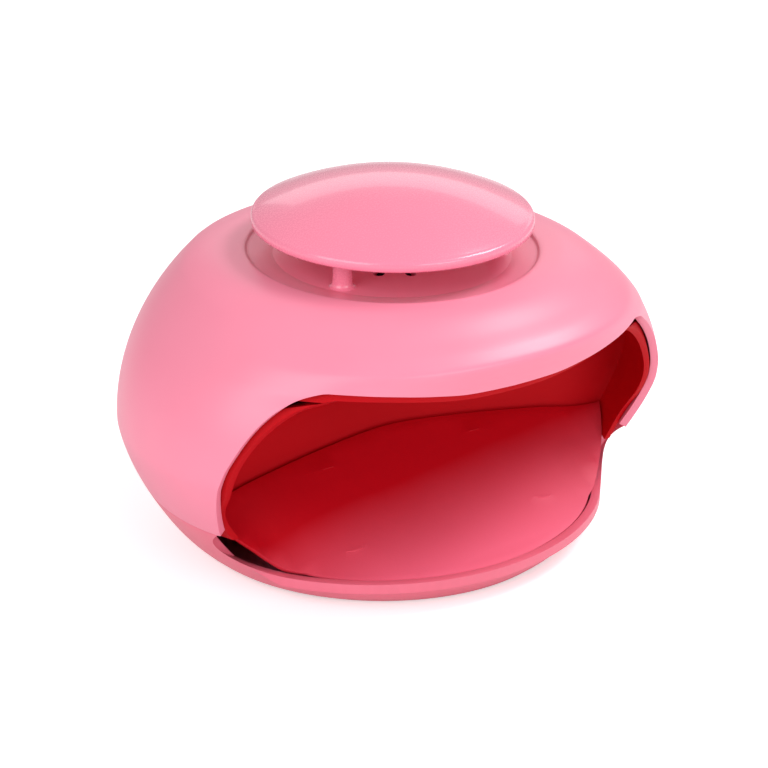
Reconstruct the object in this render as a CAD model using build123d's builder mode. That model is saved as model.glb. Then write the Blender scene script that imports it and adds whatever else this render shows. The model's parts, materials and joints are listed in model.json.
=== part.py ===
"""Small battery nail lamp: a pod-shaped housing with a hand opening, a press tray, a fan and UV LEDs.

Millimetres, +Z up, the hand opening faces -Y. The origin is on the ground under the middle of the lamp.
Depths are given from the vertical axis of the cap and fan, which stands at y = axis_y.
"""

import os
from math import cos, pi, radians, sin

import numpy as np
from build123d import *

os.makedirs("parts", exist_ok=True)

# Overall body
half_width = 71.0
rear_reach = 60.3
ridge_reach = 56.0
axis_y = (ridge_reach - rear_reach) / 2
foot_height = 1.0
base_z = foot_height
waist_height = 35.0
dome_height = 86.5
shoulder_height = 75.0
shoulder_radius = 37.5
seam_z = base_z + 19.0
side_power = 2.04
rear_power = 2.96
lower_power = 1.34
side_foot_share = 0.68
rear_foot_share = 0.93

# Walls and gaps
housing_wall = 2.0
shoulder_wall = 3.0
liner_wall = 1.4
liner_gap = 0.35
floor_wall = 2.0
seam_gap = 0.05

# Front profile of the body, height above the underside and reach from the axis
lip_reach = 50.6
ridge_height = 65.0
front_points = [
    (45.0, 0.0),
    (lip_reach, 8.0),
    (53.2, 19.0),
    (54.4, 35.0),
    (54.0, 48.0),
    (53.6, 56.0),
    (ridge_reach - 0.9, ridge_height - 3.5),
    (ridge_reach, ridge_height),
    (ridge_reach - 2.2, ridge_height + 2.4),
    (48.5, 70.2),
    (43.0, shoulder_height - 1.9),
    (shoulder_radius, shoulder_height),
]

# Mouth
lip_z = base_z + 7.9
lip_corner_x = 46.5
lip_rim_depth = 2.5
lip_rim_wall = 2.2
lip_rim_half = 48.0
lip_rim_fade = 4.0
cheek_x = 60.9
mouth_side = [(-20.0, 20.0), (-24.8, 31.8), (-29.0, 43.0), (-33.3, 53.0), (-37.0, 57.4), (-40.8, 59.5)]
mouth_side += [(-46.0, 60.6)]
brow_edge = [(0.0, 56.5), (12.0, 56.8), (22.0, 57.9), (32.0, 59.0), (42.0, 59.6), (56.0, 59.8)]
brow_reveal = 2.6
liner_setback = 1.2
skirt_top_z = 65.0
skirt_front = -28.0

# Hand tray
tray_front_z = base_z + 7.8
tray_slope = 0.18
tray_curve = 0.25
tray_cup = 0.84
tray_cup_start = 38.0
tray_thick = 1.8
tray_inset = 4.6
tray_rear = 0.7
tray_edge_thick = 0.7
tray_edge_gap = 0.45
tray_edge_half = 46.7

# Chamber in the liner: height and rear depth in the middle, and how far the rear wall bows forward at the sides
chamber_stations = [
    (11.0, 1.6),
    (20.0, 1.8),
    (30.0, 1.8),
    (38.0, 1.2),
    (43.5, -1.0),
    (47.2, -5.0),
    (50.3, -12.0),
    (53.2, -20.0),
    (56.2, -29.0),
    (59.0, -38.0),
]
chamber_bow = 10.0
chamber_bow_x = 65.0
liner_bottom = 17.5

# Cap
cap_radius = 35.0
cap_rim_z = base_z + 84.0
cap_rim_thick = 2.4
cap_crown = 8.6
cap_wall = 1.8
post_circle = 26.0
post_radius = 2.4
post_angles = [90.0, 210.0, 330.0]
post_hole_z = 82.4

# Air intake dish under the cap
dish_radius = 35.4
dish_floor_radius = 29.6
dish_floor_z = 74.4
dish_wall = 1.8
slot_inner = 8.0
slot_outer = 17.5
slot_width = 2.6
slot_count = 12

# Fan and motor
fan_radius = 28.5
fan_top_z = 65.6
fan_bottom_z = 59.4
hub_radius = 14.0
hub_wall = 1.2
blade_count = 7
blade_thick = 1.2
blade_pitch = 32.0
motor_radius = 12.2
motor_top_z = 63.5
motor_height = 9.0
shaft_radius = 1.0
shaft_fit = 0.02
ring_inner = 30.0
ring_wall = 1.6
ring_bottom_z = 60.0
ring_top_z = 66.6
arm_angles = [90.0, 188.0, -8.0]
arm_width = 4.0
arm_thick = 1.6
ear_circle = 35.2
ear_angles = [0.0, 60.0, 120.0, 180.0]
ear_radius = 4.0
ear_thick = 1.8

# LEDs
led_radius = 2.5
led_fit = 0.1
led_spacing = 14.0
led_depth = -43.5
led_tip_z = 58.4
led_length = 6.8
board_size = (38.0, 9.0)
board_thick = 1.2
board_post_x = 7.0
board_post_radius = 1.6
ceiling_z = 59.0

# Air outlet in the liner
outlet_count = 7
outlet_pitch = 6.0
outlet_width = 2.6
outlet_length = 11.0
outlet_depth = -17.0

# Batteries
cell_radius = 5.25
cell_length = 43.4
cell_tip = 1.1
cell_tip_radius = 1.9
cell_pitch = 10.9
cell_first = 17.5
cell_z = 9.9
cell_fit = 0.1
bay_wall = 1.5
bay_half = 26.2
bay_top_z = 16.6
plate_size = (8.0, 8.0)
plate_thick = 0.4
contact_length = 3.2

# Battery door
door_half = 26.4
door_front = 10.2
door_top_z = base_z + 12.6
door_gap = 0.2
tongue_width = 1.2
tongue_thick = 0.7
tongue_fit = 0.1
tongue_z = base_z + 0.65
tongue_end = 44.0

# Small hardware
foot_radius = 4.0
foot_recess = 0.5
foot_spots = [(33.0, -21.0), (37.0, 18.0)]
screw_radius = 1.25
screw_fit = 0.15
screw_head_radius = 2.3
screw_head_height = 1.4
boss_radius = 3.2
housing_screw_spots = [(43.5, 14.5), (32.5, 35.5)]
housing_screw_length = 24.0
boss_floor_z = base_z + 4.5
liner_screw_spots = [(27.5, -42.5)]
liner_screw_length = 8.0
hinge_x = 22.0
hinge_depth = -4.2
hinge_z = 17.5
hinge_pin_radius = 1.0
hinge_fit = 0.06
lug_width = 3.0
cheek_width = 2.0
cheek_gap = 0.4
seat_spots = [(28.0, -26.0)]
seat_z = 10.5
seat_radius = 4.2
spring_radius = 3.0
spring_wire = 0.35
spring_turns = 4
switch_depth = -32.0
switch_width = 8.0
switch_top_z = 7.8
plunger_radius = 1.5
plunger_fit = 0.05
plunger_top_z = 9.4
plunger_clear = 0.12
wire_radius = 0.6


def swell(share, power):
    """Quarter of a rounded square: 1 at share 0 and 0 at share 1."""
    return max(0.0, 1 - share**power) ** (1 / power)


def wall_reach(height, widest, power, foot_share):
    """Reach of the side or rear wall at a height above the underside."""
    if height >= waist_height:
        return widest * swell((height - waist_height) / (dome_height - waist_height), power)
    low = swell((waist_height - height) / waist_height, lower_power)
    return widest * (foot_share + (1 - foot_share) * low)


def sampled(curve, count=400):
    """A profile as a list of reaches and heights."""
    return [((curve @ (i / count)).X, (curve @ (i / count)).Y) for i in range(count + 1)]


def rounded_profile(widest, power, foot_share):
    """Side or rear profile of the body, with its shoulder turned over to the dish."""
    heights = [0, 2, 6, 12, 19, 27, 35, 44, 53, 61, 67, 71]
    points = [(wall_reach(h, widest, power, foot_share), h) for h in heights]
    points += [(shoulder_radius + 6.5, shoulder_height - 0.8), (shoulder_radius, shoulder_height)]
    return sampled(Spline(*points))


side_profile = rounded_profile(half_width, side_power, side_foot_share)
rear_profile = rounded_profile(rear_reach, rear_power, rear_foot_share)
front_profile = sampled(Spline(*front_points))


def reach_at(profile, height, inset):
    """Reach of a profile at a height, with its wall moved inwards by inset, or outwards by minus inset."""
    if inset == 0:
        return float(np.interp(height, [h for r, h in profile], [r for r, h in profile]))
    near = [(r, (inset**2 - (h - height) ** 2) ** 0.5) for r, h in profile if abs(h - height) <= abs(inset)]
    if inset > 0:
        return min(r - drop for r, drop in near)
    return max(r + rise for r, rise in near)


def half_outline(width, reach, power, way):
    """Points of half a rounded outline, from +X to -X round the front (-1) or the rear (+1)."""
    points = []
    for step in range(13):
        turn = pi * step / 12
        c, s = cos(turn), sin(turn)
        x = width * abs(c) ** (2 / power) * (1 if c >= 0 else -1)
        points.append((x, way * reach * max(s, 0.0) ** (2 / power)))
    return points


def outline_at(height, inset):
    """Points of the body's whole outline at a height above the underside, moved inwards by inset."""
    width = reach_at(side_profile, height, inset)
    front_power = float(np.interp(height, [8, 40, 60, shoulder_height], [1.95, 2.33, 2.33, 2.0]))
    front = half_outline(width, reach_at(front_profile, height, inset), front_power, -1)
    rear = half_outline(width, reach_at(rear_profile, height, inset), 2.0, 1)
    return [*front, *reversed(rear[1:-1])]


def body_solid(inset, low, high):
    """The body's outer form moved inwards by inset, between two heights above the underside."""
    stations = [5, 11, 19, 28, 37, 45, 51, 56, 60, 63, 65, 67, 69.2, 71.2, 72.8, 74]
    heights = [low] + [h for h in stations if low + 1.5 < h < high - 0.5] + [high]
    with BuildPart() as body:
        for height in heights:
            with BuildSketch(Plane((0, axis_y, base_z + height))):
                with BuildLine():
                    Spline(*outline_at(height, inset), periodic=True)
                make_face()
        loft()
    return body.part


chamber_rear = sampled(Spline(*[(depth, z) for z, depth in chamber_stations]))


def rear_edge(depth):
    """Plan of the chamber's rear wall: depth in the middle, bowed forward to the sides."""
    xs = [72, 60, 48, 36, 24, 12, 0, -12, -24, -36, -48, -60, -72]
    return [(x, depth - chamber_bow * (abs(x) / chamber_bow_x) ** 1.5) for x in xs]


def chamber_solid(grow):
    """The vault in which the fingers go, grown by a wall."""
    with BuildPart() as vault:
        for z in (11.0, 18.0, 26.0, 33.0, 39.0, 43.5, 47.0, 50.0, 53.0, 56.0, 59.0 + grow):
            edge = rear_edge(reach_at(chamber_rear, z, -grow))
            with BuildSketch(Plane((0, axis_y, z))):
                with BuildLine():
                    Spline(*edge)
                    Polyline(edge[-1], (-72, -75), (72, -75), edge[0])
                make_face()
        loft()
    return vault.part


def mouth_cutter(reveal, setback, low):
    """What the mouth takes out of a shell: in front of the side rims and below the brow."""
    top = mouth_side[-1][1]
    rim = []
    for depth, z in mouth_side:
        share = max(0.0, (z - seam_z) / (top - seam_z))
        rim.append((axis_y + depth + setback * (1 - share), z + reveal * share**2))
    with BuildPart() as cutter:
        with BuildSketch(Plane.YZ):
            with BuildLine():
                Spline(*rim, tangents=[(0, 1), (-1, 0.1)])
                Polyline(rim[-1], (axis_y - 90, rim[-1][1]), (axis_y - 90, low), (rim[0][0], low), rim[0])
            make_face()
        extrude(amount=90, both=True)
        brow = [(x, z + reveal) for x, z in brow_edge]
        left = [(-x, z) for x, z in reversed(brow[1:])]
        with BuildSketch(Plane.XZ):
            with BuildLine():
                Spline(*left, *brow)
                Polyline(brow[-1], (90, brow[-1][1]), (90, low), (-90, low), (-90, brow[-1][1]), left[0])
            make_face()
        extrude(amount=90 - axis_y, mode=Mode.INTERSECT)
    return cutter.part


def upright_body(height, inset, low, high):
    """The body's outline at a height above the underside, as an upright block between two levels."""
    outline = outline_at(height, 0.0)
    moved = []
    for before, here, after in zip(outline[-1:] + outline, outline, outline[1:] + outline[:1]):
        along = np.subtract(after, before)
        along = along / np.linalg.norm(along)
        moved.append((here[0] - inset * abs(along[1]) * np.sign(here[0]),
                      here[1] - inset * abs(along[0]) * np.sign(here[1])))
    with BuildPart() as block:
        with BuildSketch(Plane((0, axis_y, low))):
            with BuildLine():
                Spline(*moved, periodic=True)
            make_face()
        extrude(amount=high - low)
    return block.part


def lip_rim_room():
    """Where the lip's upright rim is: in front, below the lip, fading out at the cheeks."""
    low = lip_z - lip_rim_depth
    end = lip_rim_half + lip_rim_fade
    with BuildPart() as room:
        with BuildSketch(Plane.XZ.offset(-axis_y + 14)):
            with BuildLine():
                Polyline((-end, lip_z), (-lip_rim_half, low), (lip_rim_half, low), (end, lip_z), (-end, lip_z))
            make_face()
        extrude(amount=80)
    return room.part


def tray_height(x, depth):
    """Height of the tray's upper face."""
    back = depth + 47.0
    cup = tray_cup * (max(0.0, abs(x) - tray_cup_start) / 19.0) ** 2
    return tray_front_z + tray_slope * back + tray_curve * back**2 / 60 + cup


def around(spots):
    """The spots and their mirror images, as places on the ground."""
    return [(side * x, axis_y + y) for x, y in spots for side in (1, -1)]


def on_circle(radius, angles):
    """Places on a circle round the cap's axis."""
    return [(radius * cos(radians(a)), axis_y + radius * sin(radians(a))) for a in angles]


# Solids that several pieces are cut from
outer_body = body_solid(0.0, 0.0, shoulder_height)
roof_height = shoulder_height - shoulder_wall
shell_hollow = body_solid(housing_wall, floor_wall, roof_height)
liner_outer = body_solid(housing_wall + liner_gap, floor_wall, roof_height)
liner_inner = body_solid(housing_wall + liner_gap + liner_wall, floor_wall, roof_height)
chamber = chamber_solid(0.0)
chamber_shell = chamber_solid(liner_wall)
hand_room = liner_inner & chamber
tray_room = body_solid(tray_inset, floor_wall, roof_height)


def turned(points, z_shift=0.0):
    """A solid of revolution about the cap's axis, from a closed outline of radii and heights."""
    with BuildPart() as ring:
        with BuildSketch(Plane((0, axis_y, z_shift), x_dir=(1, 0, 0), z_dir=(0, -1, 0))):
            with BuildLine():
                Polyline(*points, points[0])
            make_face()
        revolve(axis=Axis((0, axis_y, 0), (0, 0, 1)))
    return ring.part


def pillars(spots, radius, low, high):
    """Upright round bars at places on the ground."""
    with BuildPart() as bars:
        with BuildSketch(Plane.XY.offset(low)):
            with Locations(*spots):
                Circle(radius)
        extrude(amount=high - low)
    return bars.part


def bar(x_from, x_to, y_from, y_to, z_from, z_to):
    """A block between two corners; depths are counted from the cap's axis."""
    with BuildPart() as block:
        with Locations(((x_from + x_to) / 2, axis_y + (y_from + y_to) / 2, (z_from + z_to) / 2)):
            Box(x_to - x_from, y_to - y_from, z_to - z_from)
    return block.part


def crosswise(reach, radius):
    """A round bar along X on the tray's hinge axis, reaching as far to both sides."""
    with BuildPart() as rod:
        with BuildSketch(Plane.YZ.offset(-reach)):
            with Locations((axis_y + hinge_depth, hinge_z)):
                Circle(radius)
        extrude(amount=2 * reach)
    return rod.part


def coil(x, y, z_from, z_to, radius, wire, turns):
    """A round-wire coil spring standing on a place, with its end turns on z_from and z_to."""
    rise = z_to - z_from - 2 * wire
    with BuildPart() as spring:
        with BuildLine():
            path = Helix(rise / turns, rise, radius, center=(x, y, z_from + wire))
        with BuildSketch(Plane(path @ 0, z_dir=path % 0)):
            Circle(wire)
        sweep(is_frenet=True)
    return spring.part


def spring_gap(radius, wire, rise, turns):
    """Least distance between neighbouring turns of a coil, measured on points of its middle line."""
    count = 240
    line = [
        (radius * cos(2 * pi * turns * i / count), radius * sin(2 * pi * turns * i / count), rise * i / count)
        for i in range(count + 1)
    ]
    per_turn = count / turns
    least = min(
        sum((a - b) ** 2 for a, b in zip(line[i], line[j])) ** 0.5
        for i in range(count + 1)
        for j in range(i + int(per_turn * 0.6), count + 1)
    )
    return least - 2 * wire


# Upper housing: the pod's shell above the seam, with the brow, the intake dish and its bosses
roof_room = outer_body - bar(-100, 100, -100, 100, -10, seam_z + seam_gap)
with BuildPart() as upper_housing:
    add(outer_body)
    add(shell_hollow, mode=Mode.SUBTRACT)
    with Locations((0, 0, seam_z + seam_gap)):
        Box(200, 200, 100, align=(Align.CENTER, Align.CENTER, Align.MAX), mode=Mode.SUBTRACT)
    add(mouth_cutter(brow_reveal, 0.0, seam_z - 2), mode=Mode.SUBTRACT)
    with Locations((0, axis_y, dish_floor_z)):
        Cylinder(dish_radius + 1, 20, align=(Align.CENTER, Align.CENTER, Align.MIN), mode=Mode.SUBTRACT)
    with BuildSketch(Plane((0, axis_y, 0), x_dir=(1, 0, 0), z_dir=(0, -1, 0))):
        with BuildLine():
            top_z = base_z + shoulder_height
            Polyline(
                (0, dish_floor_z - dish_wall),
                (dish_floor_radius + 0.6, dish_floor_z - dish_wall),
                (dish_radius + 1, top_z - shoulder_wall),
                (dish_radius + 1, top_z),
                (dish_radius + 0.4, top_z),
            )
            ThreePointArc(
                (dish_radius + 0.4, top_z), (dish_radius - 0.25, top_z - 0.2), (dish_radius - 0.6, top_z - 0.8)
            )
            Line((dish_radius - 0.6, top_z - 0.8), (dish_floor_radius, dish_floor_z))
            Polyline((dish_floor_radius, dish_floor_z), (0, dish_floor_z), (0, dish_floor_z - dish_wall))
        make_face()
    revolve(axis=Axis((0, axis_y, 0), (0, 0, 1)))
    # Pillars for the base screws, the liner screws and the fan frame
    screw_pillars = pillars(around(housing_screw_spots), boss_radius, seam_z + seam_gap, 72.0)
    add(screw_pillars & roof_room)
    liner_pillars = pillars(around(liner_screw_spots), boss_radius, ceiling_z + liner_wall + 0.05, 72.0)
    add(liner_pillars & roof_room)
    fan_pillars = pillars(on_circle(ear_circle, ear_angles), boss_radius, ring_top_z, 73.0)
    add(fan_pillars & roof_room)
    with BuildSketch(Plane((0, axis_y, dish_floor_z + 1))):
        with PolarLocations((slot_inner + slot_outer) / 2, slot_count, start_angle=15):
            SlotOverall(slot_outer - slot_inner, slot_width)
    extrude(amount=-5, mode=Mode.SUBTRACT)
    add(pillars(on_circle(post_circle, post_angles), screw_radius + screw_fit, 60, 80), mode=Mode.SUBTRACT)
    screw_holes = pillars(around(housing_screw_spots), screw_radius, seam_z - 1, boss_floor_z + housing_screw_length)
    add(screw_holes, mode=Mode.SUBTRACT)
    liner_holes = pillars(
        around(liner_screw_spots), screw_radius, ceiling_z, ceiling_z + liner_screw_length
    )
    add(liner_holes, mode=Mode.SUBTRACT)
    ear_holes = pillars(on_circle(ear_circle, ear_angles), screw_radius, ring_top_z - 1, ring_top_z + 4.0)
    add(ear_holes, mode=Mode.SUBTRACT)
upper_housing.part.label = "upper_housing"
export_step(upper_housing.part, "parts/upper_housing.step")

# Inner liner: the chamber's walls and ceiling, hung inside the housing
with BuildPart() as inner_liner:
    add(liner_outer)
    add(chamber_shell, mode=Mode.INTERSECT)
    add(hand_room, mode=Mode.SUBTRACT)
    with Locations((0, 0, liner_bottom)):
        Box(200, 200, 100, align=(Align.CENTER, Align.CENTER, Align.MAX), mode=Mode.SUBTRACT)
    # Skirt behind the brow
    brow_wall = (liner_outer - liner_inner) & bar(-80, 80, -80, skirt_front, ceiling_z, skirt_top_z)
    add(brow_wall)
    add(mouth_cutter(0.0, liner_setback, 2.0), mode=Mode.SUBTRACT)
    # Posts for the LED board
    board_z = led_tip_z + led_length
    board_spots = [(x, axis_y + led_depth) for x in (-board_post_x, board_post_x)]
    add(pillars(board_spots, board_post_radius, ceiling_z + 0.5, board_z))
    add(pillars(board_spots, 0.8, board_z - 3.5, board_z + 1), mode=Mode.SUBTRACT)
    # Holes for the LEDs and the liner screws, and the air outlet
    led_spots = [(i * led_spacing, axis_y + led_depth) for i in (-1, 0, 1)]
    add(pillars(led_spots, led_radius + led_fit, ceiling_z - 4, board_z), mode=Mode.SUBTRACT)
    add(pillars(around(liner_screw_spots), screw_radius + screw_fit, ceiling_z - 4, 66), mode=Mode.SUBTRACT)
    head_room = screw_head_radius + screw_fit
    add(pillars(around(liner_screw_spots), head_room, ceiling_z - 4, ceiling_z), mode=Mode.SUBTRACT)
    with BuildSketch(Plane((0, axis_y + outlet_depth, 40))):
        with GridLocations(outlet_pitch, 1, outlet_count, 1):
            SlotOverall(outlet_length, outlet_width, rotation=90)
    extrude(amount=20, mode=Mode.SUBTRACT)
inner_liner.part.label = "inner_liner"
export_step(inner_liner.part, "parts/inner_liner.step")

# Battery door: a patch of the base's rear underside, with a tongue along each side
door_outer = outer_body & bar(-door_half, door_half, door_front, 70, 0, door_top_z)
with BuildPart() as battery_door:
    add(door_outer)
    add(shell_hollow, mode=Mode.SUBTRACT)
    for side in (-1, 1):
        inner = side * (door_half - 0.5)
        outer = side * (door_half + tongue_width)
        x_low, x_high = min(inner, outer), max(inner, outer)
        add(bar(x_low, x_high, door_front + 1, tongue_end, tongue_z, tongue_z + tongue_thick))
battery_door.part.label = "battery_door"
export_step(battery_door.part, "parts/battery_door.step")

# Base: the lower shell with its front lip, floor posts, hinge cheeks and the door's opening
rim_room = lip_rim_room()
with BuildPart() as base_shell:
    add(outer_body)
    add(shell_hollow, mode=Mode.SUBTRACT)
    # Upright rim below the lip
    add(upright_body(lip_z - base_z, 0.0, 0, 30) & rim_room)
    add(upright_body(lip_z - base_z, lip_rim_wall, 0, 30) & rim_room, mode=Mode.SUBTRACT)
    with Locations((0, 0, seam_z)):
        Box(200, 200, 100, align=(Align.CENTER, Align.CENTER, Align.MIN), mode=Mode.SUBTRACT)
    with BuildSketch(Plane.XZ.offset(-axis_y + 14)):
        with BuildLine():
            rise = seam_z - lip_z
            EllipticalCenterArc((lip_corner_x, seam_z), cheek_x - lip_corner_x, rise, 270, arc_size=90)
            EllipticalCenterArc((-lip_corner_x, seam_z), cheek_x - lip_corner_x, rise, 180, arc_size=90)
            Line((-lip_corner_x, lip_z), (lip_corner_x, lip_z))
            Polyline((cheek_x, seam_z), (cheek_x, seam_z + 5), (-cheek_x, seam_z + 5), (-cheek_x, seam_z))
        make_face()
    extrude(amount=80, mode=Mode.SUBTRACT)
    # Door opening with its grooves, which run out through the rear wall
    opening = door_half + door_gap
    add(bar(-opening, opening, door_front - door_gap, 80, -5, door_top_z + door_gap), mode=Mode.SUBTRACT)
    groove_half = door_half + tongue_width + door_gap
    groove_low = tongue_z - tongue_fit
    groove_high = tongue_z + tongue_thick + tongue_fit
    add(bar(-groove_half, groove_half, door_front - door_gap, 80, groove_low, groove_high), mode=Mode.SUBTRACT)
    # Screw posts
    base_room = outer_body & bar(-100, 100, -100, 100, base_z, seam_z)
    base_posts = pillars(around(housing_screw_spots), boss_radius, base_z, seam_z)
    add(base_posts & base_room)
    add(pillars(around(housing_screw_spots), screw_radius + screw_fit, 0, 30), mode=Mode.SUBTRACT)
    add(pillars(around(housing_screw_spots), screw_head_radius + screw_fit, 0, boss_floor_z), mode=Mode.SUBTRACT)
    # Hinge cheeks, spring pins and switch seat on the floor
    floor_z = base_z + floor_wall
    for side in (-1, 1):
        for way in (-1, 1):
            near = hinge_x + way * (lug_width / 2 + cheek_gap)
            far = near + way * cheek_width
            x_low, x_high = sorted((side * near, side * far))
            add(bar(x_low, x_high, hinge_depth - 3, hinge_depth + 3, floor_z - 0.5, hinge_z + 2.2))
    add(crosswise(hinge_x + 8, hinge_pin_radius), mode=Mode.SUBTRACT)
    add(pillars(around(seat_spots), spring_radius - spring_wire - 0.35, floor_z - 0.5, floor_z + 2.5))
    for side in (-1, 1):
        x_low, x_high = sorted((side * (switch_width / 2 + 0.1), side * (switch_width / 2 + 1.3)))
        add(bar(x_low, x_high, switch_depth - 4, switch_depth + 4, floor_z - 0.5, floor_z + 3))
    # Recesses for the feet
    add(pillars(around(foot_spots), foot_radius + 0.05, base_z - 1, base_z + foot_recess), mode=Mode.SUBTRACT)
base_shell.part.label = "base_shell"
export_step(base_shell.part, "parts/base_shell.step")

# Rubber feet
with BuildPart() as rubber_feet:
    add(pillars(around(foot_spots), foot_radius, 0, base_z + foot_recess))
    bottom_rims = rubber_feet.edges().group_by(Axis.Z)[0]
    chamfer(bottom_rims, 0.4)
rubber_feet.part.label = "rubber_feet"
export_step(rubber_feet.part, "parts/rubber_feet.step")

def tray_sheet(thick):
    """The tray's cupped sheet before it is trimmed."""
    with BuildPart() as sheet:
        for depth in (-52.0, -36.0, -20.0, -4.0, 12.0):
            with BuildSketch(Plane((0, axis_y + depth, 0), x_dir=(1, 0, 0), z_dir=(0, -1, 0))):
                xs = [-66, -58, -50, -44, -38, 0, 38, 44, 50, 58, 66]
                top = [(x, tray_height(x, depth)) for x in xs]
                bottom = [(x, z - thick) for x, z in reversed(top)]
                with BuildLine():
                    Spline(*top)
                    Line(top[-1], bottom[0])
                    Spline(*bottom)
                    Line(bottom[-1], top[0])
                make_face()
        loft()
    return sheet.part


# Hand tray: a shallow cupped plate that is pressed down, with its hinge lugs and spring seats
with BuildPart() as hand_tray:
    add(tray_sheet(tray_thick))
    with BuildSketch(Plane.XY):
        edge = [(x, axis_y + y) for x, y in rear_edge(tray_rear)]
        with BuildLine():
            Spline(*edge)
            Polyline(edge[-1], (-72, -75), (72, -75), edge[0])
        make_face()
    extrude(amount=60, mode=Mode.INTERSECT)
    add(tray_room, mode=Mode.INTERSECT)
    # Thin front edge that fills the mouth up to the lip
    front_room = upright_body(lip_z - base_z, lip_rim_wall + tray_edge_gap, 0, 30)
    front_room = front_room & bar(-tray_edge_half, tray_edge_half, -60, -16, 0, 30)
    add(tray_sheet(tray_edge_thick) & front_room)
    # Spring seats and the switch pad, flat below
    for x, y in seat_spots + [(0.0, switch_depth)]:
        low = plunger_top_z + plunger_clear if x == 0 else seat_z
        places = around([(x, y)]) if x else [(0, axis_y + y)]
        add(pillars(places, seat_radius if x else 2.6, low, tray_height(x, y) - tray_thick * 0.6))
    # Hinge lugs
    for side in (-1, 1):
        x_low, x_high = sorted((side * (hinge_x - lug_width / 2), side * (hinge_x + lug_width / 2)))
        top = tray_height(hinge_x, hinge_depth) - tray_thick * 0.6
        add(bar(x_low, x_high, hinge_depth - 2.2, hinge_depth + 2.2, hinge_z - 2.2, top))
    add(crosswise(hinge_x + 4, hinge_pin_radius + hinge_fit), mode=Mode.SUBTRACT)
hand_tray.part.label = "hand_tray"
export_step(hand_tray.part, "parts/hand_tray.step")

# Hinge pins
with BuildPart() as hinge_pins:
    for side in (-1, 1):
        start = side * hinge_x - (lug_width / 2 + cheek_gap + cheek_width)
        with BuildSketch(Plane.YZ.offset(start)):
            with Locations((axis_y + hinge_depth, hinge_z)):
                Circle(hinge_pin_radius)
        extrude(amount=lug_width + 2 * (cheek_gap + cheek_width))
hinge_pins.part.label = "hinge_pins"
export_step(hinge_pins.part, "parts/hinge_pins.step")

# Tray springs
tray_rise = seat_z - floor_z - 2 * spring_wire
print("tray spring gap", round(spring_gap(spring_radius, spring_wire, tray_rise, spring_turns), 3))
with BuildPart() as tray_springs:
    for x, y in around(seat_spots):
        add(coil(x, y, floor_z, seat_z, spring_radius, spring_wire, spring_turns))
tray_springs.part.label = "tray_springs"
export_step(tray_springs.part, "parts/tray_springs.step")

# Switch under the tray
with BuildPart() as switch_body:
    add(bar(-switch_width / 2, switch_width / 2, switch_depth - 4, switch_depth + 4, floor_z, switch_top_z))
    add(pillars([(0, axis_y + switch_depth)], plunger_radius + plunger_fit, floor_z + 1, 20), mode=Mode.SUBTRACT)
    chamfer(switch_body.edges().group_by(Axis.Z)[-1].filter_by(GeomType.LINE), 0.3)
switch_body.part.label = "switch_body"
export_step(switch_body.part, "parts/switch_body.step")

with BuildPart() as switch_plunger:
    add(pillars([(0, axis_y + switch_depth)], plunger_radius, floor_z + 2.4, plunger_top_z))
    chamfer(switch_plunger.edges().group_by(Axis.Z)[-1], 0.3)
switch_plunger.part.label = "switch_plunger"
export_step(switch_plunger.part, "parts/switch_plunger.step")

# Battery bay: a box open below, with a cradle and a contact wall at each end
cell_depths = [cell_first + i * cell_pitch for i in range(3)]
bay_front = cell_depths[0] - cell_radius - cell_fit
bay_rear = cell_depths[2] + cell_radius + cell_fit
with BuildPart() as battery_bay:
    add(
        bar(
            -bay_half - bay_wall,
            bay_half + bay_wall,
            bay_front - bay_wall,
            bay_rear + bay_wall,
            cell_z - 1.5,
            bay_top_z,
        )
    )
    add(bar(-bay_half, bay_half, bay_front, bay_rear, 0, cell_z), mode=Mode.SUBTRACT)
    for depth in cell_depths:
        with BuildSketch(Plane.YZ.offset(-bay_half)):
            with Locations((axis_y + depth, cell_z)):
                Circle(cell_radius + cell_fit)
        extrude(amount=2 * bay_half, mode=Mode.SUBTRACT)
        for side in (-1, 1):
            x_low, x_high = sorted((side * (bay_half - 5), side * bay_half))
            add(bar(x_low, x_high, depth - 4.2, depth + 4.2, 4.5, bay_top_z - 0.8), mode=Mode.SUBTRACT)
    for side in (-1, 1):
        x_low, x_high = sorted((side * bay_half, side * (bay_half + bay_wall)))
        add(bar(x_low, x_high, bay_front - bay_wall, bay_rear + bay_wall, 5.4, cell_z))
        x_low, x_high = sorted((side * (bay_half + bay_wall - 0.5), side * (bay_half + bay_wall + 5.5)))
        add(bar(x_low, x_high, 24, 32, 5.4, 7.4))
        add(pillars([(side * (bay_half + bay_wall + 2.9), axis_y + 28)], 0.9, 0, 9), mode=Mode.SUBTRACT)
battery_bay.part.label = "battery_bay"
export_step(battery_bay.part, "parts/battery_bay.step")

# Battery cells, laid alternately
with BuildPart() as battery_cells:
    for index, depth in enumerate(cell_depths):
        way = 1 if index % 2 == 0 else -1
        plate_x = bay_half - plate_thick
        tip_end = way * plate_x
        body_end = way * (plate_x - cell_tip)
        body_start = way * (plate_x - cell_tip - cell_length)
        for start, end, radius in ((body_start, body_end, cell_radius), (body_end, tip_end, cell_tip_radius)):
            with BuildSketch(Plane.YZ.offset(min(start, end))):
                with Locations((axis_y + depth, cell_z)):
                    Circle(radius)
            extrude(amount=abs(end - start))
battery_cells.part.label = "battery_cells"
export_step(battery_cells.part, "parts/battery_cells.step")

# Contact plates and springs, one of each for every cell
with BuildPart() as contact_plates:
    for index, depth in enumerate(cell_depths):
        for way in (1, -1):
            x_low, x_high = sorted((way * (bay_half - plate_thick), way * bay_half))
            half = plate_size[0] / 2
            add(bar(x_low, x_high, depth - half, depth + half, cell_z - 4.2, cell_z + 3.8))
contact_plates.part.label = "contact_plates"
export_step(contact_plates.part, "parts/contact_plates.step")

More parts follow.
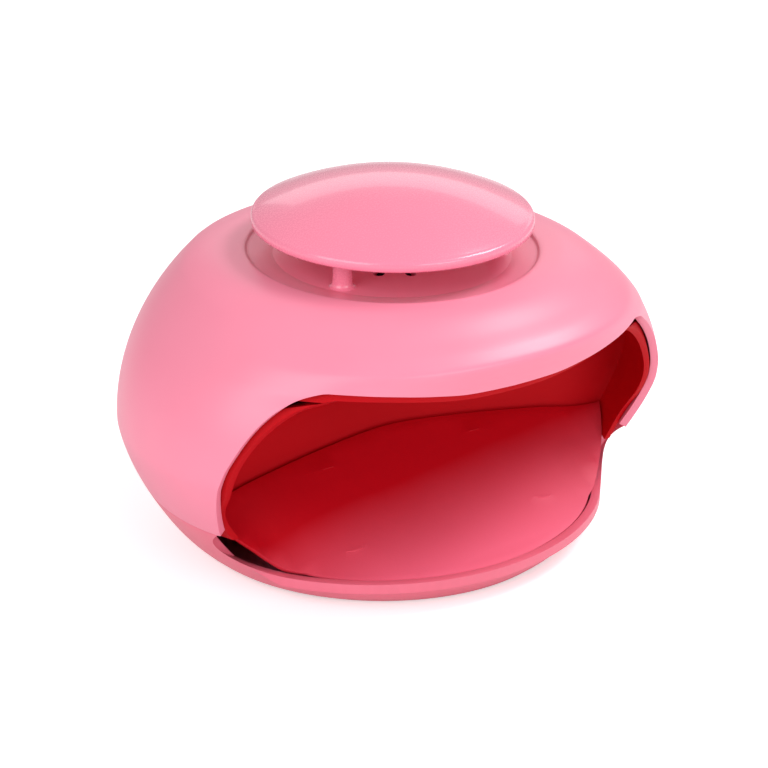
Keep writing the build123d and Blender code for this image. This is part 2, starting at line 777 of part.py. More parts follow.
contact_rise = 2 * (bay_half - plate_thick) - cell_tip - cell_length
print("contact spring length", round(contact_rise, 2))
contact_turns = 3
contact_wire = 0.3
print("contact spring gap", round(spring_gap(2.6, contact_wire, contact_rise - 2 * contact_wire, contact_turns), 3))
with BuildPart() as contact_springs:
    for index, depth in enumerate(cell_depths):
        way = 1 if index % 2 == 0 else -1
        upright = coil(0, 0, 0, contact_rise, 2.6, contact_wire, contact_turns)
        plate_face = -way * (bay_half - plate_thick)
        add(upright.rotate(Axis.Y, 90 * way).translate((plate_face, axis_y + depth, cell_z)))
contact_springs.part.label = "contact_springs"
export_step(contact_springs.part, "parts/contact_springs.step")

# Cap: a domed disc on three posts
with BuildPart() as top_cap:
    with BuildSketch(Plane((0, axis_y, 0), x_dir=(1, 0, 0), z_dir=(0, -1, 0))):
        crown_z = cap_rim_z + cap_crown
        edge = cap_radius - 1.0
        inner_edge = cap_radius - cap_wall
        with BuildLine():
            ThreePointArc((0, crown_z), (edge / 2, cap_rim_z + cap_crown * 0.76), (edge, cap_rim_z + 0.2))
            ThreePointArc((edge, cap_rim_z + 0.2), (cap_radius - 0.25, cap_rim_z - 0.3), (cap_radius, cap_rim_z - 1))
            Polyline(
                (cap_radius, cap_rim_z - 1),
                (cap_radius, cap_rim_z - cap_rim_thick),
                (inner_edge, cap_rim_z - cap_rim_thick),
                (inner_edge, cap_rim_z - cap_wall),
            )
            ThreePointArc(
                (inner_edge, cap_rim_z - cap_wall),
                (inner_edge / 2, cap_rim_z - cap_wall + cap_crown * 0.76),
                (0, crown_z - cap_wall),
            )
            Line((0, crown_z - cap_wall), (0, crown_z))
        make_face()
    revolve(axis=Axis((0, axis_y, 0), (0, 0, 1)))
    add(pillars(on_circle(post_circle, post_angles), post_radius, dish_floor_z, cap_rim_z + 2.4))
    post_holes = pillars(on_circle(post_circle, post_angles), screw_radius, dish_floor_z - 1, post_hole_z)
    add(post_holes, mode=Mode.SUBTRACT)
top_cap.part.label = "top_cap"
export_step(top_cap.part, "parts/top_cap.step")

# Fan frame: a ring with three arms that carry the motor cup, hung from the roof by four ears
cup_top_z = fan_bottom_z - 1.0
cup_bottom_z = motor_top_z - motor_height
frame_outline = [
    (ring_inner, ring_bottom_z),
    (ring_inner + ring_wall, ring_bottom_z),
    (ring_inner + ring_wall, ring_top_z),
    (ring_inner, ring_top_z),
]
cup_outline = [
    (0, cup_bottom_z - 1.4),
    (motor_radius + 1.2, cup_bottom_z - 1.4),
    (motor_radius + 1.2, cup_top_z),
    (motor_radius + 0.03, cup_top_z),
    (motor_radius + 0.03, cup_bottom_z),
    (0, cup_bottom_z),
]
with BuildPart() as fan_frame:
    add(turned(frame_outline))
    add(turned(cup_outline))
    for angle in arm_angles:
        with Locations(Location((0, axis_y, 0), (0, 0, 1), angle)):
            reach = ring_inner + ring_wall - 0.1
            length = reach - motor_radius - 0.4
            with Locations((motor_radius + 0.4 + length / 2, 0, cup_top_z - arm_thick / 2)):
                Box(length, arm_width, arm_thick)
            foot = ring_bottom_z + 0.5 - cup_top_z + arm_thick
            with Locations((reach - ring_wall / 2 + 0.05, 0, cup_top_z - arm_thick + foot / 2)):
                Box(ring_wall - 0.1, arm_width, foot)
    ears = pillars(on_circle(ear_circle, ear_angles), ear_radius, ring_top_z - ear_thick, ring_top_z)
    ring_room = turned([(0, 50), (ring_inner + 0.4, 50), (ring_inner + 0.4, 70), (0, 70)])
    add(ears - ring_room)
    ear_holes = pillars(on_circle(ear_circle, ear_angles), screw_radius + screw_fit, ring_top_z - 5, ring_top_z + 1)
    add(ear_holes, mode=Mode.SUBTRACT)
fan_frame.part.label = "fan_frame"
export_step(fan_frame.part, "parts/fan_frame.step")

# Fan motor with its shaft bush
with BuildPart() as fan_motor:
    with BuildSketch(Plane((0, axis_y, cup_bottom_z))):
        Circle(motor_radius)
    extrude(amount=motor_height)
    chamfer(fan_motor.edges().filter_by(GeomType.CIRCLE), 0.4)
    shaft_hole = pillars([(0, axis_y)], shaft_radius + shaft_fit, cup_bottom_z + 2, motor_top_z + 2)
    add(shaft_hole, mode=Mode.SUBTRACT)
fan_motor.part.label = "fan_motor"
export_step(fan_motor.part, "parts/fan_motor.step")

# Fan rotor: a cup-shaped hub with seven pitched blades
with BuildPart() as fan_rotor:
    for index in range(blade_count):
        with Locations(Location((0, axis_y, 0), (0, 0, 1), index * 360 / blade_count)):
            middle = (hub_radius + fan_radius) / 2
            spot = Location((middle, 0, (fan_bottom_z + fan_top_z) / 2), (blade_pitch, 0, 0))
            with Locations(spot):
                Box(fan_radius - hub_radius + 4, 14, blade_thick)
    low, high = fan_bottom_z + 0.2, fan_top_z - 0.2
    blade_room = [(hub_radius - 0.6, low), (fan_radius, low), (fan_radius, high), (hub_radius - 0.6, high)]
    add(turned(blade_room), mode=Mode.INTERSECT)
    hub_outline = [
        (shaft_radius, fan_top_z - hub_wall - 0.5),
        (2.6, fan_top_z - hub_wall - 0.5),
        (2.6, fan_top_z - hub_wall),
        (hub_radius - hub_wall, fan_top_z - hub_wall),
        (hub_radius - hub_wall, fan_bottom_z),
        (hub_radius, fan_bottom_z),
        (hub_radius, fan_top_z),
        (shaft_radius, fan_top_z),
    ]
    add(turned(hub_outline))
fan_rotor.part.label = "fan_rotor"
export_step(fan_rotor.part, "parts/fan_rotor.step")

# Fan shaft
with BuildPart() as fan_shaft:
    add(pillars([(0, axis_y)], shaft_radius, cup_bottom_z + 2.5, fan_top_z))
fan_shaft.part.label = "fan_shaft"
export_step(fan_shaft.part, "parts/fan_shaft.step")

# LEDs and their board
with BuildPart() as uv_leds:
    dome_z = led_tip_z + led_radius
    add(pillars(led_spots, led_radius, dome_z, board_z))
    with Locations(*[(x, y, dome_z) for x, y in led_spots]):
        Sphere(led_radius)
uv_leds.part.label = "uv_leds"
export_step(uv_leds.part, "parts/uv_leds.step")

with BuildPart() as led_board:
    with BuildSketch(Plane((0, axis_y + led_depth, board_z))):
        RectangleRounded(board_size[0], board_size[1], 1.0)
    extrude(amount=board_thick)
    add(pillars(board_spots, 1.0, board_z - 1, board_z + 3), mode=Mode.SUBTRACT)
led_board.part.label = "led_board"
export_step(led_board.part, "parts/led_board.step")


def screws(spots, seat_height, length, way, radius, head_radius, head_height):
    """Round-head screws with a cross recess; way is +1 when the shank points up from the seat."""
    with BuildPart() as group:
        low, high = sorted((seat_height, seat_height + way * length))
        add(pillars(spots, radius, low, high))
        low, high = sorted((seat_height, seat_height - way * head_height))
        add(pillars(spots, head_radius, low, high))
        outer = low if way > 0 else high
        with Locations(*[(x, y, outer) for x, y in spots]):
            Box(head_radius * 1.2, head_radius * 0.3, head_height * 0.9, mode=Mode.SUBTRACT)
            Box(head_radius * 0.3, head_radius * 1.2, head_height * 0.9, mode=Mode.SUBTRACT)
    return group.part


with BuildPart() as housing_screws:
    add(
        screws(
            around(housing_screw_spots),
            boss_floor_z,
            housing_screw_length - 1,
            1,
            screw_radius,
            screw_head_radius,
            screw_head_height,
        )
    )
housing_screws.part.label = "housing_screws"
export_step(housing_screws.part, "parts/housing_screws.step")

with BuildPart() as liner_screws:
    seat = ceiling_z
    add(screws(around(liner_screw_spots), seat, liner_screw_length - 1, 1, screw_radius, screw_head_radius, 1.2))
liner_screws.part.label = "liner_screws"
export_step(liner_screws.part, "parts/liner_screws.step")

with BuildPart() as cap_screws:
    seat = dish_floor_z - dish_wall
    add(screws(on_circle(post_circle, post_angles), seat, 8.0, 1, screw_radius, screw_head_radius, 1.2))
cap_screws.part.label = "cap_screws"
export_step(cap_screws.part, "parts/cap_screws.step")

with BuildPart() as fan_screws:
    seat = ring_top_z - ear_thick
    add(screws(on_circle(ear_circle, ear_angles), seat, ear_thick + 3.5, 1, screw_radius, screw_head_radius, 1.2))
fan_screws.part.label = "fan_screws"
export_step(fan_screws.part, "parts/fan_screws.step")

with BuildPart() as board_screws:
    seat = board_z + board_thick
    add(screws(board_spots, seat, 4.0, -1, 0.8, 1.5, 0.9))
board_screws.part.label = "board_screws"
export_step(board_screws.part, "parts/board_screws.step")

with BuildPart() as bay_screws:
    bay_spots = [(side * (bay_half + bay_wall + 2.9), axis_y + 28) for side in (-1, 1)]
    add(screws(bay_spots, 7.4, 4.0, -1, 0.9, 1.8, 1.0))
bay_screws.part.label = "bay_screws"
export_step(bay_screws.part, "parts/bay_screws.step")
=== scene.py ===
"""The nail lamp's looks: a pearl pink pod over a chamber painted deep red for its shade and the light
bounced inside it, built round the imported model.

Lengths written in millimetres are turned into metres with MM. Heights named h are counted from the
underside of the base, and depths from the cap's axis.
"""
import json
from bisect import bisect_left
from math import cos, hypot, pi, radians, sin

import bmesh
import bpy
from mathutils import Matrix, Vector


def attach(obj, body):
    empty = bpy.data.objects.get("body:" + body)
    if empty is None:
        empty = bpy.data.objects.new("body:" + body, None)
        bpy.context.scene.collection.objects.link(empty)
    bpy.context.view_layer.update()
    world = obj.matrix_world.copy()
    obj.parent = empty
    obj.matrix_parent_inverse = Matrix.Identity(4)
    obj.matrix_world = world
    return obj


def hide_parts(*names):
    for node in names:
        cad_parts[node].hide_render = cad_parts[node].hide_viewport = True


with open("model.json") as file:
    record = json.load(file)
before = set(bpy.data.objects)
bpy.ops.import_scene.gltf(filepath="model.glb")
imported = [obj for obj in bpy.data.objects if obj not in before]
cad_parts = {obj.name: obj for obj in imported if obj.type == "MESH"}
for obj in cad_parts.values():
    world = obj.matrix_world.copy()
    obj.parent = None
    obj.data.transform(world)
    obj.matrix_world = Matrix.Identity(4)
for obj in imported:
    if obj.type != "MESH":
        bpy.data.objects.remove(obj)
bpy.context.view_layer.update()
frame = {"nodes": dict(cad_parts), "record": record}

MM = 0.001

# Camera, as the photograph was taken
view_turn = radians(-33.0)
view_rise = radians(24.0)
view_roll = radians(1.0)
view_distance = 0.700
picture_px = 768.0
focal_px = 2770.0
shift_px = (6.0, -9.0)
sensor_mm = 36.0

# The pod's driving dimensions, as in the solids
half_width = 71.0
rear_reach = 60.3
ridge_reach = 56.0
axis_y = (ridge_reach - rear_reach) / 2
base_z = 1.0
waist_height = 35.0
dome_height = 86.5
shoulder_height = 75.0
shoulder_radius = 37.5
seam_height = 19.05
housing_wall = 2.0
side_power, rear_power, lower_power = 2.04, 2.96, 1.34
side_foot_share, rear_foot_share = 0.68, 0.93
front_points = [
    (0.0, 45.0),
    (8.0, 50.6),
    (19.0, 53.2),
    (35.0, 54.4),
    (48.0, 54.0),
    (56.0, 53.6),
    (61.5, 55.1),
    (65.0, 56.0),
    (67.4, 53.8),
    (70.2, 48.5),
    (73.1, 43.0),
    (75.0, 37.5),
]
section_powers = [(8.0, 1.95), (40.0, 2.33), (60.0, 2.33), (75.0, 2.0)]

# The mouth: depth against height at its sides, and height against half width along the brow
mouth_side = [
    (20.0, -20.0),
    (31.8, -24.8),
    (43.0, -29.0),
    (53.0, -33.3),
    (57.4, -37.0),
    (59.5, -40.8),
    (60.6, -46.0),
]
brow_edge = [(0.0, 56.5), (12.0, 56.8), (22.0, 57.9), (32.0, 59.0), (42.0, 59.6), (56.0, 59.8)]
brow_reveal = 2.6

# Cap and intake dish
cap_radius = 35.0
cap_rim_z = 85.0
cap_rim_thick = 2.4
cap_crown = 8.6
post_circle = 26.0
post_radius = 2.4
post_angles = (90.0, 210.0, 330.0)
dish_floor_z = 74.4


def clear_selection():
    """Nothing is selected, so that the next operator acts on its own piece alone."""
    bpy.ops.object.select_all(action="DESELECT")


def in_order(table, value):
    """Straight-line reading of a table of (place, value) pairs."""
    places = [place for place, _ in table]
    spot = min(max(bisect_left(places, value), 1), len(table) - 1)
    (a, low), (b, high) = table[spot - 1], table[spot]
    share = min(max((value - a) / (b - a), 0.0), 1.0)
    return low + (high - low) * share


def smooth_reader(table):
    """Monotone cubic reading of a table, so that a profile has no waves between its points."""
    steps = [(b[1] - a[1]) / (b[0] - a[0]) for a, b in zip(table, table[1:])]
    slopes = [steps[0]]
    for before, after in zip(steps, steps[1:]):
        slopes.append(0.0 if before * after <= 0 else 2 * before * after / (before + after))
    slopes.append(steps[-1])
    places = [place for place, _ in table]

    def read(value):
        value = min(max(value, places[0]), places[-1])
        spot = min(max(bisect_left(places, value), 1), len(places) - 1)
        (a, low), (b, high) = table[spot - 1], table[spot]
        span = b - a
        t = (value - a) / span
        rise = (1 + 2 * t) * (1 - t) ** 2 * low + t * (1 - t) ** 2 * span * slopes[spot - 1]
        return rise + t * t * (3 - 2 * t) * high + t * t * (t - 1) * span * slopes[spot]

    return read


def swell(share, power):
    """Quarter of a rounded square: 1 at share 0 and 0 at share 1."""
    return max(0.0, 1 - share**power) ** (1 / power)


def wall_table(widest, power, foot_share):
    """Reach of the side or rear wall against height, up to the shoulder."""
    table = []
    for h in range(0, 72):
        if h >= waist_height:
            reach = widest * swell((h - waist_height) / (dome_height - waist_height), power)
        else:
            low = swell((waist_height - h) / waist_height, lower_power)
            reach = widest * (foot_share + (1 - foot_share) * low)
        table.append((float(h), reach))
    return table + [(74.2, shoulder_radius + 6.5), (shoulder_height, shoulder_radius)]


side_reach = smooth_reader(wall_table(half_width, side_power, side_foot_share))
rear_reach_at = smooth_reader(wall_table(rear_reach, rear_power, rear_foot_share))
front_reach = smooth_reader(front_points)


def pod_point(turn, h):
    """Place on the pod's outside, in millimetres, at a turn round the axis and a height."""
    c, s = cos(turn), sin(turn)
    width = side_reach(h)
    if s >= 0:
        return Vector((width * c, axis_y + rear_reach_at(h) * s, base_z + h))
    power = in_order(section_powers, h)
    x = width * abs(c) ** (2 / power) * (1 if c >= 0 else -1)
    return Vector((x, axis_y - front_reach(h) * abs(s) ** (2 / power), base_z + h))


def mouth_lines(reveal):
    """The mouth's side line, depth against height, and its brow line, height against half width."""
    low, top = mouth_side[0][0], mouth_side[-1][0]
    side = []
    for z, depth in mouth_side:
        share = max(0.0, (z - low) / (top - low))
        side.append((z + reveal * share**2, depth))
    return smooth_reader(side), smooth_reader([(x, z + reveal) for x, z in brow_edge]), top + reveal


housing_side, housing_brow, housing_top = mouth_lines(brow_reveal)


def in_mouth(turn, h):
    """Whether the mouth takes away this place on the pod's outside."""
    place = pod_point(turn, h)
    if place.z >= housing_top:
        return False
    return place.y - axis_y < housing_side(place.z) and place.z < housing_brow(abs(place.x))


def lower_edge(turn):
    """Height of the housing's lower edge: the seam, or the mouth's rim."""
    if sin(turn) > -0.2 or not in_mouth(turn, seam_height + 0.4):
        return seam_height
    low, high = seam_height + 0.4, 66.0
    for _ in range(26):
        middle = (low + high) / 2
        if in_mouth(turn, middle):
            low = middle
        else:
            high = middle
    return low


def evenly(places, count):
    """Turns and heights spread evenly by length along a closed line of (turn, h) pairs."""
    points = [pod_point(turn, h) for turn, h in places]
    lengths = [0.0]
    for a, b in zip(points, points[1:]):
        lengths.append(lengths[-1] + (b - a).length)
    spread = []
    for step in range(count):
        wanted = lengths[-1] * step / count
        spot = max(bisect_left(lengths, wanted), 1)
        share = (wanted - lengths[spot - 1]) / max(lengths[spot] - lengths[spot - 1], 1e-9)
        (turn_a, h_a), (turn_b, h_b) = places[spot - 1], places[spot]
        spread.append((turn_a + (turn_b - turn_a) * share, h_a + (h_b - h_a) * share))
    return spread


def rise_table():
    """Share of the way up the pod's side, by length, against height."""
    heights = [i * shoulder_height / 300 for i in range(301)]
    places = [(side_reach(h), h) for h in heights]
    lengths = [0.0]
    for a, b in zip(places, places[1:]):
        lengths.append(lengths[-1] + hypot(b[0] - a[0], b[1] - a[1]))
    return [(h, length / lengths[-1]) for h, length in zip(heights, lengths)]


share_by_height = rise_table()
height_by_share = [(share, h) for h, share in share_by_height]


def skin(name, columns, rings, point):
    """A closed band from a grid, each of its points put at point(column, ring) in millimetres."""
    clear_selection()
    bpy.ops.mesh.primitive_grid_add(x_subdivisions=columns, y_subdivisions=rings - 1, size=2)
    sheet = bpy.context.object
    sheet.name = name
    for vertex in sheet.data.vertices:
        column = round((vertex.co.x + 1) / 2 * columns)
        ring = round((vertex.co.y + 1) / 2 * (rings - 1))
        vertex.co = point(column % columns, ring) * MM
    bpy.ops.object.mode_set(mode="EDIT")
    bpy.ops.mesh.select_all(action="SELECT")
    bpy.ops.mesh.remove_doubles(threshold=0.001 * MM)
    bpy.ops.mesh.normals_make_consistent(inside=False)
    bpy.ops.object.mode_set(mode="OBJECT")
    return sheet


def modifier(piece, kind, **settings):
    """Adds a modifier with these settings and applies it."""
    clear_selection()
    bpy.context.view_layer.objects.active = piece
    piece.select_set(True)
    added = piece.modifiers.new(kind.title(), kind)
    for key, value in settings.items():
        setattr(added, key, value)
    bpy.ops.object.modifier_apply(modifier=added.name)


def smoothed(piece, degrees=35.0):
    """Smooth shading, with edges sharper than this kept crisp."""
    clear_selection()
    bpy.context.view_layer.objects.active = piece
    piece.select_set(True)
    bpy.ops.object.shade_smooth_by_angle(angle=radians(degrees))


def settle(piece):
    """Puts the piece's place into its mesh and leaves the object at the origin."""
    clear_selection()
    bpy.context.view_layer.objects.active = piece
    piece.select_set(True)
    bpy.ops.object.transform_apply(location=True, rotation=True, scale=True)


def spun(name, outline, steps=128):
    """A piece turned about the cap's axis from an outline of (radius, z) pairs, in millimetres."""
    clear_selection()
    start = Vector((outline[0][0], axis_y, outline[0][1])) * MM
    bpy.ops.mesh.primitive_plane_add(size=MM, location=start)
    piece = bpy.context.object
    piece.name = name
    bpy.ops.object.mode_set(mode="EDIT")
    bpy.ops.mesh.merge(type="CENTER")
    for (r0, z0), (r1, z1) in zip(outline, outline[1:]):
        step = ((r1 - r0) * MM, 0, (z1 - z0) * MM)
        bpy.ops.mesh.extrude_region_move(TRANSFORM_OT_translate={"value": step})
    bpy.ops.mesh.select_all(action="SELECT")
    bpy.ops.mesh.spin(steps=steps, angle=2 * pi, center=(0, axis_y * MM, 0), axis=(0, 0, 1))
    bpy.ops.mesh.select_all(action="SELECT")
    bpy.ops.mesh.remove_doubles(threshold=0.003 * MM)
    bpy.ops.mesh.normals_make_consistent(inside=False)
    bpy.ops.object.mode_set(mode="OBJECT")
    settle(piece)
    return piece


class Wire:
    """A shader value. Arithmetic on it adds Math nodes."""

    def __init__(self, finish, socket):
        self.finish = finish
        self.socket = socket

    def math(self, operation, first, second):
        return self.finish.node("ShaderNodeMath", {"operation": operation}, {0: first, 1: second})

    def __add__(self, other):
        return self.math("ADD", self, other)

    def __radd__(self, other):
        return self.math("ADD", other, self)

    def __sub__(self, other):
        return self.math("SUBTRACT", self, other)

    def __rsub__(self, other):
        return self.math("SUBTRACT", other, self)

    def __mul__(self, other):
        return self.math("MULTIPLY", self, other)

    def __rmul__(self, other):
        return self.math("MULTIPLY", other, self)

    def __gt__(self, other):
        return self.math("GREATER_THAN", self, other)


class Finish:
    """One material, made node by node."""

    def __init__(self, name, **sockets):
        self.material = bpy.data.materials.new(name)
        self.material.use_nodes = True
        self.tree = self.material.node_tree
        self.shader = self.tree.nodes["Principled BSDF"]
        self.where = self.node("ShaderNodeTexCoord", output="Object")
        self.set(**sockets)

    def node(self, kind, settings=None, sockets=None, output=0):
        """Adds a node with these settings, then these socket values or links."""
        made = self.tree.nodes.new(kind)
        for key, value in (settings or {}).items():
            setattr(made, key, value)
        for key, value in (sockets or {}).items():
            self.put(made.inputs[key], value)
        return Wire(self, made.outputs[output])

    def put(self, socket, value):
        if isinstance(value, Wire):
            self.tree.links.new(value.socket, socket)
        else:
            socket.default_value = value

    def set(self, **sockets):
        """Sets the shader's own sockets: underscores stand for spaces."""
        for key, value in sockets.items():
            self.put(self.shader.inputs[key.replace("_", " ")], value)

    def noise(self, scale, detail=2.0, stretch=(1, 1, 1)):
        """A cloud pattern from 0 to 1 in object space."""
        place = self.node("ShaderNodeMapping", None, {"Vector": self.where, "Scale": stretch})
        return self.node("ShaderNodeTexNoise", None, {"Vector": place, "Scale": scale, "Detail": detail})

    def mix(self, share, first, second):
        """Colour between two colours."""
        kind = {"data_type": "RGBA", "clamp_factor": True}
        return self.node("ShaderNodeMix", kind, {0: share, 6: first, 7: second}, output=2)

    def bump(self, height, strength, distance):
        sockets = {"Height": height, "Strength": strength, "Distance": distance}
        return self.node("ShaderNodeBump", None, sockets)


def tone(red, green, blue):
    """A screen colour of 0 to 255 as the linear colour a shader takes."""
    linear = []
    for value in (red, green, blue):
        share = value / 255
        linear.append(share / 12.92 if share <= 0.04045 else ((share + 0.055) / 1.055) ** 2.4)
    return (*linear, 1.0)


def pearl(name, colour, cloud_colour, roughness, coat, coat_roughness, grain=0.00001):
    """Pearl-pigmented moulded plastic: cloudy colour, fine sparkle in its gloss and a faint grain."""
    finish = Finish(name, Coat_Weight=coat, Coat_Roughness=coat_roughness)
    cloud = finish.noise(38.0, 3.0)
    flow = finish.noise(11.0, 2.0, (1, 1, 2.5))
    fleck = finish.noise(2600.0, 1.0)
    share = cloud * 0.7 + flow * 0.6 - 0.15
    finish.set(
        Base_Color=finish.mix(share, colour, cloud_colour),
        Roughness=roughness + (fleck - 0.5) * 0.16 + (cloud - 0.5) * 0.06,
        Normal=finish.bump(fleck, 0.5, grain),
    )
    return finish


def plain(
    name, colour, second, roughness, grain_scale=900.0, grain=0.00002, metallic=0.0, stretch=(1, 1, 1)
):
    """Moulded plastic, rubber or plated metal with a fine grain."""
    finish = Finish(name, Metallic=metallic)
    cloud = finish.noise(60.0, 3.0)
    fine = finish.noise(grain_scale, 2.0, stretch)
    finish.set(
        Base_Color=finish.mix(cloud, colour, second),
        Roughness=roughness + (fine - 0.5) * 0.2,
        Normal=finish.bump(fine, 0.6, grain),
    )
    return finish


housing_pink = pearl("housing_pearl", tone(243, 130, 156), tone(247, 142, 168), 0.40, 0.24, 0.30)
base_pink = pearl("base_pearl", tone(232, 104, 128), tone(238, 114, 138), 0.38, 0.25, 0.25)
cap_pink = pearl("cap_pearl", tone(244, 128, 156), tone(248, 138, 166), 0.26, 0.50, 0.08)
# The liner's deep red is painted shade: it stands for the shade and the light bounced round inside the
# chamber.
liner_painted_shade = pearl("liner_shade_red", tone(184, 3, 16), tone(192, 5, 20), 0.55, 0.0, 0.30)
liner_painted_shade.set(Specular_IOR_Level=0.12)
# The deep red here is painted shade and light bounced inside the chamber; the Base Color is replaced
# below by the painted light-and-shade blend.
tray_lit_and_shaded = pearl("tray_painted_light_and_shade", tone(206, 10, 34), tone(212, 14, 40), 0.50, 0.0, 0.30, 0.00003)
tray_lit_and_shaded.set(Specular_IOR_Level=0.25)
# Painted light and shade on the tray: pink where lit at the front, deep red painted shade and bounced
# light at the rear, the edge between them leaning a little to the right like a shadow's edge
shadow_edge_start = 0.016
shadow_edge_lean = 0.12
shadow_edge_wobble = 0.003
shadow_edge_rise = 34.0
depth_of = tray_lit_and_shaded.node("ShaderNodeSeparateXYZ", None, {0: tray_lit_and_shaded.where}, 1)
across_of = tray_lit_and_shaded.node("ShaderNodeSeparateXYZ", None, {0: tray_lit_and_shaded.where}, 0)
shadow_edge_noise = tray_lit_and_shaded.noise(38.0, 3.0)
lit_reach = (-shadow_edge_start - depth_of + across_of * shadow_edge_lean + (shadow_edge_noise - 0.5) * shadow_edge_wobble) * shadow_edge_rise
painted_light_share = tray_lit_and_shaded.node("ShaderNodeClamp", None, {0: lit_reach})
tray_lit_and_shaded.set(Base_Color=tray_lit_and_shaded.mix(painted_light_share, tone(196, 6, 26), tone(240, 104, 132)))
black_rubber = plain("black_rubber", tone(34, 34, 36), tone(42, 42, 44), 0.8, 1400.0, 0.00004)
drawn = {"metallic": 1.0, "stretch": (1, 1, 12)}
rolled = {"metallic": 1.0, "stretch": (1, 1, 9)}
nickel = plain("nickel_plate", tone(196, 198, 202), tone(180, 182, 188), 0.28, 700.0, 0.000005, **drawn)
can_steel = plain("motor_can", tone(186, 188, 190), tone(170, 172, 176), 0.34, 500.0, 0.00001, **rolled)
black_moulding = plain("black_moulding", tone(30, 30, 32), tone(40, 40, 42), 0.5)
pale_moulding = plain("pale_moulding", tone(226, 224, 218), tone(232, 230, 226), 0.5)
white_moulding = plain("natural_moulding", tone(222, 216, 206), tone(230, 226, 218), 0.55)
solder_mask = plain("solder_mask", tone(26, 96, 50), tone(32, 108, 58), 0.35, 400.0, 0.00003)


def cell_sleeve():
    """Dark battery sleeve with bare metal at both ends."""
    finish = Finish("cell_sleeve")
    parts = finish.node("ShaderNodeSeparateXYZ", None, {0: finish.where})
    along = finish.node("ShaderNodeMath", {"operation": "ABSOLUTE"}, {0: parts})
    end = along > 21.6 * MM
    fine = finish.noise(900.0, 2.0)
    finish.set(
        Base_Color=finish.mix(end, tone(48, 56, 72), tone(200, 200, 204)),
        Metallic=end,
        Roughness=0.3 + (fine - 0.5) * 0.15,
    )
    return finish


def clear_lens():
    """Clear epoxy of the LEDs."""
    finish = Finish("led_epoxy", Transmission_Weight=0.85, IOR=1.5)
    cloud = finish.noise(300.0, 2.0)
    finish.set(
        Base_Color=finish.mix(cloud, tone(226, 222, 250), tone(214, 208, 246)),
        Roughness=0.06 + cloud * 0.05,
    )
    return finish


finishes = {
    "housing_plastic": housing_pink,
    "base_plastic": base_pink,
    "cap_plastic": cap_pink,
    "liner_plastic": liner_painted_shade,
    "tray_plastic": tray_lit_and_shaded,
    "foot_rubber": black_rubber,
    "steel": nickel,
    "motor_steel": can_steel,
    "switch_plastic": black_moulding,
    "plunger_plastic": pale_moulding,
    "bay_plastic": white_moulding,
    "cell_sleeve": cell_sleeve(),
    "rotor_plastic": black_moulding,
    "led_lens": clear_lens(),
    "board": solder_mask,
}
node_slots = {entry["node"]: entry["material_slot"] for entry in frame["record"]["subparts"]}


def paint(piece, finish):
    """The finish is the piece's only material."""
    piece.data.materials.clear()
    piece.data.materials.append(finish.material)


def body_of_node(node):
    """The body that a node belongs to."""
    for body, nodes in frame["record"]["behaviour"]["bodies"].items():
        if node in nodes:
            return body
    raise KeyError(node)


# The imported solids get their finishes
for node, solid in frame["nodes"].items():
    for place in solid.material_slots:
        place.material = finishes[node_slots[node]].material
    if not solid.material_slots:
        solid.data.materials.append(finishes[node_slots[node]].material)


# The tray's front edge: its depth, and how far it comes down to the lip, against half width
tray_front_y = [
    (0.0, -50.1),
    (16.0, -48.4),
    (28.0, -43.8),
    (40.0, -35.6),
    (46.0, -30.7),
    (52.0, -24.6),
    (58.0, -17.4),
]
tray_front_drop = [
    (0.0, 0.0),
    (16.0, 0.4),
    (22.0, 0.7),
    (28.0, 1.4),
    (34.0, 2.2),
    (40.0, 3.1),
    (46.0, 4.1),
    (49.0, 3.2),
    (52.0, 2.0),
    (58.0, 0.8),
    (62.0, 0.0),
]
tray_front_fade = 26.0
front_y_at = smooth_reader(tray_front_y)
front_drop_at = smooth_reader(tray_front_drop)


def settled_front(vertices):
    """Brings the tray's front corners down along the lip, fading out to the rear."""
    for vertex in vertices:
        half, y = abs(vertex.co.x) / MM, vertex.co.y / MM
        share = min(max((y - front_y_at(half)) / tray_front_fade, 0.0), 1.0)
        vertex.co.z -= front_drop_at(half) * (1 - share * share * (3 - 2 * share)) * MM


moulded_edge_angle = 38.0


def moulded_copy(node, edge_mm, shape=None):
    """A piece from the solid's own skin, merged, reshaped if asked, with its hard edges softened."""
    solid = frame["nodes"][node]
    piece = bpy.data.objects.new(node + "_skin", solid.data.copy())
    bpy.context.collection.objects.link(piece)
    mesh = bmesh.new()
    mesh.from_mesh(piece.data)
    bmesh.ops.remove_doubles(mesh, verts=mesh.verts, dist=0.004 * MM)
    bmesh.ops.dissolve_degenerate(mesh, edges=mesh.edges, dist=0.002 * MM)
    if shape:
        shape(mesh.verts)
    mesh.to_mesh(piece.data)
    mesh.free()
    modifier(
        piece,
        "BEVEL",
        width=edge_mm * MM,
        segments=2,
        limit_method="ANGLE",
        angle_limit=radians(moulded_edge_angle),
        use_clamp_overlap=True,
        harden_normals=False,
    )
    smoothed(piece)
    paint(piece, finishes[node_slots[node]])
    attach(piece, body_of_node(node))
    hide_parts(node)
    return piece


# The rolled edge from the pod's shoulder down to the dish's floor: radius and height
dish_lip = [
    (37.1, 75.0),
    (36.7, 74.97),
    (36.35, 74.8),
    (36.15, 74.5),
    (35.9, 74.3),
    (35.3, 74.2),
    (32.6, 73.8),
    (29.6, 73.4),
]
housing_edge_radius = 0.55


